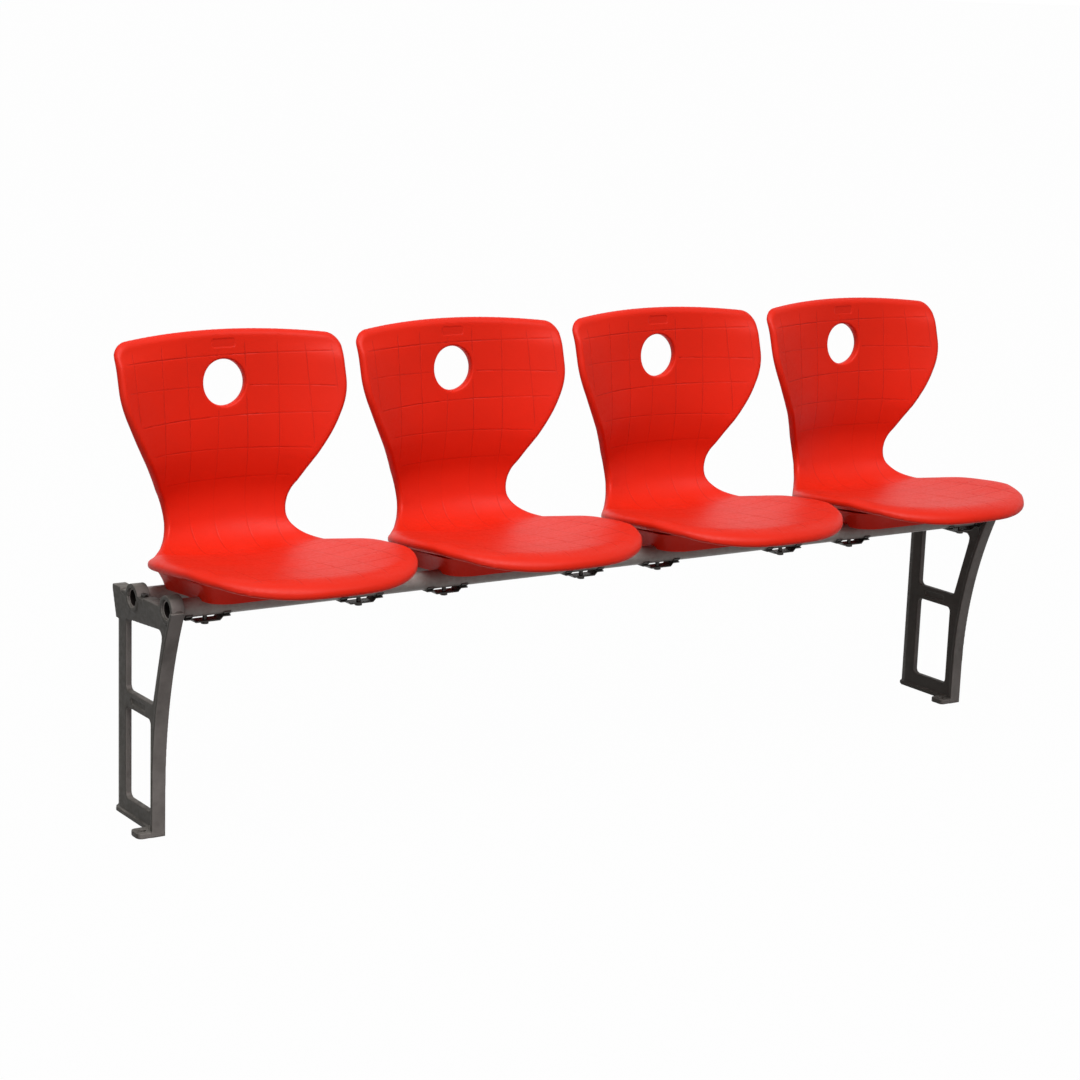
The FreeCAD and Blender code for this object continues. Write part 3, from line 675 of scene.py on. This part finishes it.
below_bend, seat_middle_ahead, tilt_height = 0.03, 101.0, 0.68
seat_top = bend_z * MM - below_bend
seat_middle_y = tube_line.y - seat_middle_ahead
line_half, line_edge = 0.0015, 0.0011
sink = {"back": 0.0008, "seat": 0.0006}
upright = [(-187, 1.2), (-129, -0.8), (-73, 0.9), (-14, -1.4),
           (43, 0.6), (101, -0.9), (158, 1.5), (203, 0.4)]
level_on_back = [(806, -0.7), (751, 1.0), (697, -1.1), (638, 0.8), (583, -0.6)]
across_seat = [(-196, 0.7), (-140, -0.9), (-83, 1.1), (-26, -0.5), (30, 0.9), (86, -0.8)]
pressed_lines = []
for x, tilt in upright:
    normal = Vector((math.cos(math.radians(tilt)), 0, math.sin(math.radians(tilt))))
    pressed_lines.append((Vector((x * MM, 0, tilt_height)), normal, lambda c: True))
for z, tilt in level_on_back:
    normal = Vector((math.sin(math.radians(tilt)), 0, math.cos(math.radians(tilt))))
    pressed_lines.append((Vector((0, 0, z * MM)), normal, lambda c: c.z > seat_top))
for y, tilt in across_seat:
    normal = Vector((math.sin(math.radians(tilt)), math.cos(math.radians(tilt)), 0))
    middle = Vector((0, (y + seat_middle_y) * MM, 0))
    pressed_lines.append((middle, normal, lambda c: c.z <= seat_top))
for middle, normal, keep in pressed_lines:
    for shift in (0, -line_half, line_half, -line_half - line_edge, line_half + line_edge):
        cut(middle + normal * shift, normal, keep)
print(len(pressed_lines), "pressed lines,", len(bm.faces), "faces now")

# %% Recess above the hole
recess_z, recess_half, recess_corner = 0.827, (0.024, 0.0085), 0.0035
recess_sides = [(Vector((1, 0, 0)), recess_half[0]), (Vector((-1, 0, 0)), recess_half[0]),
                (Vector((0, 0, 1)), recess_half[1]), (Vector((0, 0, -1)), recess_half[1])]
for sx, sz in ((1, 1), (1, -1), (-1, 1), (-1, -1)):
    slanted = Vector((sx, 0, sz)).normalized()
    recess_sides.append((slanted, (recess_half[0] + recess_half[1] - recess_corner) / math.sqrt(2)))
recess_centre = Vector((0, 0, recess_z))
recess_wall, recess_sink, recess_below, recess_beside = 0.0011, 0.0009, 0.03, 0.04


def by_recess(c):
    return c.z > recess_z - recess_below and abs(c.x) < recess_beside


for normal, far in recess_sides:
    for shift in (line_edge, 0, -recess_wall, -recess_wall - line_edge):
        cut(recess_centre + normal * (far + shift), normal, by_recess)
print("recess with", len(recess_sides), "sides,", len(bm.faces), "faces now")

# %% Push the lines in
plain_rim, rim_fade = 0.014, 0.008
plain_hole, hole_fade = 0.008, 0.003
low_from, low_fade, least_low, least_worn = 0.56, 0.08, 0.3, 0.45
recess_clear, recess_room_x, recess_room_z = 0.003, 0.03, 0.02


def share(part, whole):
    return min(max(part / whole, 0), 1)


def pressed_depth(vert):
    """How far a point is pushed in. Lines fade where worn, at edges and low on the back."""
    c = vert.co
    deep = 0.0
    for middle, normal, keep in pressed_lines:
        if keep(c):
            off = abs((c - middle).dot(normal))
            deep = max(deep, 1 - off / line_half)
    on_back = c.z > seat_top
    deep *= sink["back"] if on_back else sink["seat"]
    one_wave = math.sin(23 * c.x + 31 * c.z + 1.1)
    other_wave = math.sin(17 * c.x - 26 * c.z + 12 * c.y)
    kept = 0.5 + 0.5 * one_wave * other_wave
    risen_share = float(ease((c.z - low_from) / low_fade)) if on_back else 1
    deep *= least_worn + (1 - least_worn) * kept
    deep *= least_low + (1 - least_low) * risen_share
    deep *= share(vert[rim_layer] - plain_rim, rim_fade)
    deep *= share(vert[hole_layer] - plain_hole, hole_fade)
    if c.z > recess_z - recess_below:
        inside = min(far - (c - recess_centre).dot(normal) for normal, far in recess_sides)
        if inside > -recess_clear:
            deep *= 0
        deep = max(deep, recess_sink * share(inside, recess_wall))
    return deep


bm.normal_update()
fronts = {v for f in bm.faces if f[front_layer] for v in f.verts}
moves = [(v, v.normal * pressed_depth(v)) for v in fronts]
# Painted shade: each pushed-in point is darkened by how deep it sits, more in the lines than in the
# recess.
line_shade, recess_shade = 0.55, 0.12
for vert, move in moves:
    vert.co -= move
    in_line = abs(vert.co.z - recess_z) > recess_room_z or abs(vert.co.x) > recess_room_x
    painted_shade = line_shade if in_line else recess_shade
    vert[groove_shade_layer] = min(move.length / sink["back"], 1) * painted_shade
for face in bm.faces:
    face.smooth = True
bm.to_mesh(shell_mesh)
bm.free()
print("shell mesh of", len(shell_mesh.polygons), "faces")

# %% [markdown]
# ## The base under the seat
# Below the seat the moulding swells into a block that sits on both tubes. It is a tapering box with
# round corners, hollowed where the tubes lie. A loft of two outlines is enough; the two tube
# grooves are a boolean cut, and a bevel softens its lower edge as the mould does.

# %% Outlines of the base
front_line = middle_of("front_tube")
tube_r, base_sink = 17.0, 6.0
fall = math.atan2(tube_line.z - front_line.z, tube_line.y - front_line.y)
under_z = front_line.z + tube_r - base_sink
bend_start_y, bend_start_z = middle_line(flat_length)[:2]
base_rise = bend_start_z - (under_z + math.tan(fall) * (bend_start_y - front_line.y))


def round_corners(x, y0, y1, radius, steps=8):
    """Outline of a box with round corners, seen from above."""
    places = [(x - radius, y1 - radius, 0), (-x + radius, y1 - radius, 90),
              (-x + radius, y0 + radius, 180), (x - radius, y0 + radius, 270)]
    outline = []
    for cx, cy, start in places:
        for k in range(steps + 1):
            a = math.radians(start + 90 * k / steps)
            outline.append((cx + radius * math.cos(a), cy + radius * math.sin(a)))
    return outline


base_half, base_front, base_rear, base_corner, base_flare = 163.0, 66.0, 24.0, 36.0, 15.0
base_low = round_corners(base_half, front_line.y - base_front, tube_line.y + base_rear, base_corner)
base_high = round_corners(base_half + base_flare, front_line.y - base_front - base_flare,
                          tube_line.y + base_rear + base_flare / 2, base_corner + base_flare / 2)
print("base outlines of", len(base_low), "points,", round(base_rise), "mm apart")

# %% Base block
pivot = Vector((0, front_line.y, under_z))
tilted = Matrix.Rotation(fall, 3, "X")
bm = bmesh.new()
levels = []
level_steps, flare_power = 6, 1.6
for k in range(level_steps + 1):
    up = k / level_steps
    out = up ** flare_power
    ring = [Vector((x + (wide_x - x) * out, y + (wide_y - y) * out, under_z + base_rise * up))
            for (x, y), (wide_x, wide_y) in zip(base_low, base_high)]
    levels.append([bm.verts.new((pivot + tilted @ (v - pivot)) * MM) for v in ring])
for low, high in zip(levels, levels[1:]):
    for k in range(len(low)):
        bm.faces.new((low[k], low[(k + 1) % len(low)], high[(k + 1) % len(high)], high[k]))
bm.faces.new(levels[0][::-1])
bm.faces.new(levels[-1])
base_mesh = bpy.data.meshes.new("seat_base_mesh")
bm.to_mesh(base_mesh)
bm.free()
base = bpy.data.objects.new("seat_base", base_mesh)
bpy.context.scene.collection.objects.link(base)
print("base block of", len(levels), "outlines")

# %% Tube grooves and soft edges
groove_gap = 0.0003
groove_r = tube_r * MM + groove_gap


def groove_rod(line):
    rod = bmesh.new()
    bmesh.ops.create_cone(rod, cap_ends=True, segments=64,
                          radius1=groove_r, radius2=groove_r, depth=0.5)
    bmesh.ops.rotate(rod, verts=rod.verts, matrix=Matrix.Rotation(math.pi / 2, 3, "Y"))
    bmesh.ops.translate(rod, verts=rod.verts, vec=(0, line.y * MM, line.z * MM))
    mesh = bpy.data.meshes.new("groove_rod")
    rod.to_mesh(mesh)
    rod.free()
    made = bpy.data.objects.new("groove_rod", mesh)
    bpy.context.scene.collection.objects.link(made)
    return made


rods = [groove_rod(line) for line in (front_line, tube_line)]
for rod in rods:
    groove = base.modifiers.new("groove", "BOOLEAN")
    groove.object = rod
    groove.operation = "DIFFERENCE"
soft = base.modifiers.new("soft_edges", "BEVEL")
soft.width = 0.004
soft.segments = 3
soft.limit_method = "ANGLE"
soft.angle_limit = math.radians(40)
bpy.context.view_layer.update()
depsgraph = bpy.context.evaluated_depsgraph_get()
base_done = bpy.data.meshes.new_from_object(base.evaluated_get(depsgraph))
for thing in [base] + rods:
    bpy.data.objects.remove(thing)
print("base block of", len(base_done.polygons), "faces")

# %% [markdown]
# ## Four seats from one mesh
# Shell and base come out of one mould, so they become one mesh. The four seats share it: each is
# an object of its own that is only put in another place, as the four real seats are.

# %% Red plastic
# The red plastic is painted darker in the pressed lines, as painted shade.
red_plastic = finish_material(
    "red_plastic", colour=(0.69, 0.0160, 0.0032, 1), drift_by=(0.05, 5.0),
    worn=(0.74, 0.04, 0.02, 1), wear_from=(0.54, 0.70, 40.0), dust_by=(0.015, 12.0),
    grain_size=(1.1, 0.35), rough=(0.44, 0.54), bump_mm=0.05, gloss=0.19,
    groove_shade=("groove_shade", (0.28, 0.006, 0.004, 1)),
)

# %% Place the seats
bm = bmesh.new()
bm.from_mesh(shell_mesh)
bm.from_mesh(base_done)
seat_mesh = bpy.data.meshes.new("seat_mesh")
bm.to_mesh(seat_mesh)
bm.free()
for face in seat_mesh.polygons:
    face.use_smooth = True
seat_mesh.set_sharp_from_angle(angle=math.radians(50))
seat_mesh.materials.append(red_plastic)
for k in range(1, 5):
    seat = bpy.data.objects.new("moulded_seat_%d" % k, seat_mesh)
    bpy.context.scene.collection.objects.link(seat)
    seat.location.x = middle_of("seat_shell_%d" % k).x * MM
    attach(seat, "root")
    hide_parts("seat_shell_%d" % k)
print("four seats of", len(seat_mesh.polygons), "faces")

# %% [markdown]
# ## The cast legs and caps
# The legs are metal castings. Their solid model has sharp edges, and a real casting has none: the
# metal can't fill a sharp corner of the mould. A bevel along every edge would need clean faces.
# A voxel remesh followed by a little smoothing melts all edges alike, as the mould does.

# %% Cast paint on the legs
# The legs and caps are painted paler on the faces that look to the front, as painted light.
cast_paint = finish_material(
    "cast_paint", colour=(0.066, 0.060, 0.053, 1), drift_by=(0.22, 14.0),
    worn=(0.26, 0.25, 0.23, 1), wear_from=(0.53, 0.60, 70.0), dust_by=(0.30, 30.0),
    grain_size=(1.6, 0.5), rough=(0.46, 0.62), bump_mm=0.2, gloss=0.12,
    painted_front_light=(0.9, 18.0, (0.235, 0.212, 0.200, 1)),
)


def dress(node, material):
    """Give a node of the solid model its finish."""
    shown = nodes[node]
    if not shown.material_slots:
        shown.data.materials.append(material)
    for place in shown.material_slots:
        place.material = material
    return shown


def melt_edges(shown, voxel, rounds):
    melt = shown.modifiers.new("melt", "REMESH")
    melt.mode = "VOXEL"
    melt.voxel_size = voxel
    melt.use_smooth_shade = True
    relax = shown.modifiers.new("relax", "SMOOTH")
    relax.factor = 0.5
    relax.iterations = rounds


for side in ("left", "right"):
    melt_edges(dress("leg_" + side, cast_paint), voxel=0.0012, rounds=6)
    melt_edges(dress("tube_cap_" + side, cast_paint), voxel=0.0009, rounds=5)
print("legs and caps have", cast_paint.name)

# %% [markdown]
# ## Tubes, straps and fasteners
# The tubes are painted grey-brown outside, a little glossier than the legs. Straps, bolts, washers
# and screws are dark oxide steel, and the inserts moulded into the seats are brass.

# %% Steel and brass
def tube_paint(node):
    """Paint for one tube, with its inside painted almost black as painted shade."""
    axis = middle_of(node) * MM
    return finish_material(
        "paint_on_" + node, colour=(0.30, 0.255, 0.235, 1), drift_by=(0.07, 9.0),
        worn=(0.38, 0.36, 0.34, 1), wear_from=(0.56, 0.70, 60.0), dust_by=(0.06, 20.0),
        grain_size=(2.2, 0.6), rough=(0.34, 0.46), bump_mm=0.06, gloss=0.25,
        axis=(axis.y, axis.z),
    )


dark_steel = finish_material(
    "dark_steel", colour=(0.045, 0.040, 0.037, 1), drift_by=(0.2, 40.0),
    worn=(0.30, 0.29, 0.28, 1), wear_from=(0.55, 0.66, 120.0), dust_by=(0.05, 60.0),
    grain_size=(0.7, 0.4), rough=(0.36, 0.52), bump_mm=0.04, metal=0.6,
)
insert_brass = finish_material(
    "insert_brass", colour=(0.60, 0.43, 0.17, 1), drift_by=(0.1, 60.0),
    worn=(0.75, 0.62, 0.35, 1), wear_from=(0.55, 0.66, 120.0), dust_by=(0.0, 60.0),
    grain_size=(0.6, 0.3), rough=(0.30, 0.42), bump_mm=0.03, metal=1.0,
)


def soften(shown, width):
    weld = shown.modifiers.new("weld", "WELD")
    weld.merge_threshold = 0.00002
    bevel = shown.modifiers.new("bevel", "BEVEL")
    bevel.width = width
    bevel.segments = 2
    bevel.limit_method = "ANGLE"
    bevel.angle_limit = math.radians(35)


for name in nodes:
    if name.endswith("_tube"):
        dress(name, tube_paint(name))
    elif name.startswith(("strap_", "clamp_", "cap_screws")):
        soften(dress(name, dark_steel), width=0.0004)
    elif name.startswith("seat_inserts"):
        soften(dress(name, insert_brass), width=0.0003)
print("finishes on", len(nodes), "nodes")

# %% [markdown]
# ## Floor, light and background
# The row stands on a plain pale floor in soft light from high at the front left, with a weak low
# lamp that reaches under the seats. The white of the picture comes from the floor and the world as
# the camera sees them, not from more light on the row.

# %% Floor
def lit_for_camera(tree):
    """1 for rays that the camera, a reflection or glass sends, else 0."""
    path = tree.nodes.new("ShaderNodeLightPath")
    both = add_node(tree, "ShaderNodeMath", operation="MAXIMUM")
    every = add_node(tree, "ShaderNodeMath", operation="MAXIMUM")
    join(tree, path.outputs["Is Camera Ray"], both.inputs[0])
    join(tree, path.outputs["Is Glossy Ray"], both.inputs[1])
    join(tree, both.outputs[0], every.inputs[0])
    join(tree, path.outputs["Is Transmission Ray"], every.inputs[1])
    return every.outputs[0]


floor_paint = bpy.data.materials.new("pale_floor")
floor_paint.use_nodes = True
tree = floor_paint.node_tree
lit_floor = tree.nodes["Principled BSDF"]
lit_floor.inputs["Base Color"].default_value = (0.22, 0.22, 0.22, 1)
lit_floor.inputs["Roughness"].default_value = 0.9
glow = add_node(tree, "ShaderNodeEmission", Strength=1.0)
glow_share = add_node(tree, "ShaderNodeMath", operation="MULTIPLY")
glow_share.inputs[1].default_value = 0.985
mixed = tree.nodes.new("ShaderNodeMixShader")
join(tree, lit_for_camera(tree), glow_share.inputs[0])
join(tree, glow_share.outputs[0], mixed.inputs[0])
join(tree, lit_floor.outputs[0], mixed.inputs[1])
join(tree, glow.outputs[0], mixed.inputs[2])
join(tree, mixed.outputs[0], tree.nodes["Material Output"].inputs["Surface"])
floor_mesh = bpy.data.meshes.new("pale_floor")
half, low = 600.0, -0.0005
corners = [(-half, -half, low), (half, -half, low), (half, half, low), (-half, half, low)]
floor_mesh.from_pydata(corners, [], [(0, 1, 2, 3)])
floor_mesh.materials.append(floor_paint)
floor = bpy.data.objects.new("pale_floor", floor_mesh)
bpy.context.scene.collection.objects.link(floor)
print("floor of", round(2 * half), "m each way")

# %% World and lamps
world = bpy.data.worlds.new("studio")
bpy.context.scene.world = world
world.use_nodes = True
tree = world.node_tree
fill = tree.nodes["Background"]
fill.inputs["Color"].default_value = (1, 1, 1, 1)
fill.inputs["Strength"].default_value = 0.08
white = add_node(tree, "ShaderNodeBackground", Strength=1.0)
white.inputs["Color"].default_value = (1, 1, 1, 1)
mixed = tree.nodes.new("ShaderNodeMixShader")
join(tree, lit_for_camera(tree), mixed.inputs[0])
join(tree, fill.outputs[0], mixed.inputs[1])
join(tree, white.outputs[0], mixed.inputs[2])
join(tree, mixed.outputs[0], tree.nodes["World Output"].inputs["Surface"])


lit_point = Vector((0, 0, 0.5))


def soft_lamp(name, azimuth, height, far, size, watts):
    """Square lamp that looks at the middle of the row from that side."""
    lamp = bpy.data.objects.new(name, bpy.data.lights.new(name, "AREA"))
    lamp.data.size = size
    lamp.data.energy = watts
    a, e = math.radians(azimuth), math.radians(height)
    towards = Vector((math.sin(a) * math.cos(e), -math.cos(a) * math.cos(e), math.sin(e)))
    lamp.location = lit_point + towards * far
    lamp.rotation_euler = towards.to_track_quat("Z", "Y").to_euler()
    bpy.context.scene.collection.objects.link(lamp)


soft_lamp("key_lamp", azimuth=-42.0, height=62.0, far=7.0, size=3.6, watts=425.0)
soft_lamp("front_lamp", azimuth=8.0, height=52.0, far=7.0, size=3.0, watts=155.0)
soft_lamp("low_lamp", azimuth=-58.0, height=8.0, far=7.0, size=3.0, watts=50.0)
bpy.context.scene.view_settings.view_transform = "Standard"
print("three lamps and the world's fill")
